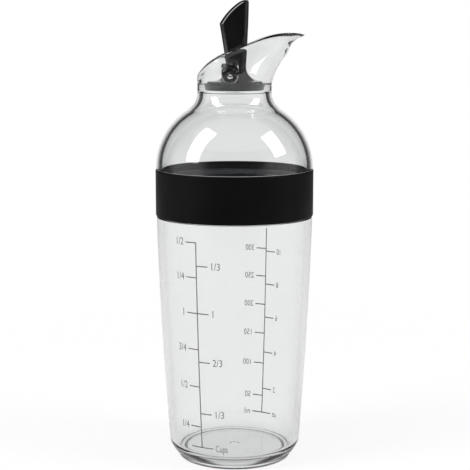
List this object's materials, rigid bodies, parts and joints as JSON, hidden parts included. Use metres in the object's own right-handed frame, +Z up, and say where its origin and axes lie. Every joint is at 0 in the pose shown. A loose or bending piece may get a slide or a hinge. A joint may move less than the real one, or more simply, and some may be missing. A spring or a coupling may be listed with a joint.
{
  "type": "salad dressing shaker bottle",
  "caption": "Clear tapered shaker bottle with a black screw-on grip collar, a domed top with a slanted pouring spout, and a thumb lever that lifts a stopper out of the neck.",
  "frame": {"origin": "on the table under the middle of the cup's foot", "axes": "+Z up along the bottle, +X towards the pouring tip of the spout"},
  "size_m": [0.0768, 0.0768, 0.2245],
  "materials": {
    "clear_plastic": "clear, polished",
    "satin_black": "satin",
    "gloss_black": "gloss",
    "grey_silicone": "matte",
    "bright_steel": "polished"
  },
  "bodies": {
    "cup": {"cup": "clear_plastic"},
    "gasket": {"rim_gasket": "grey_silicone"},
    "top": {"dome_spout": "clear_plastic", "grip_collar": "satin_black", "pivot_pin": "bright_steel"},
    "lever": {"thumb_lever": "gloss_black", "stopper_seal": "grey_silicone"}
  },
  "joints": [
    {"name": "top_lift", "type": "slide", "parent": "cup", "child": "gasket", "axis": [0, 0, 1], "range_m": [0, 0.0075]},
    {"name": "top_turn", "type": "hinge", "parent": "gasket", "child": "top", "pos_m": [0, 0, 0.13], "axis": [0, 0, 1], "range_deg": [0, 450]},
    {"name": "lever_tilt", "type": "hinge", "parent": "top", "child": "lever", "pos_m": [-0.002, 0, 0.18871], "axis": [0, -1, 0], "range_deg": [0, 62]}
  ],
  "couplings": [
    {"joint": "top_lift", "follows": "top_turn", "m_per_rad": 0.00095492}
  ]
}
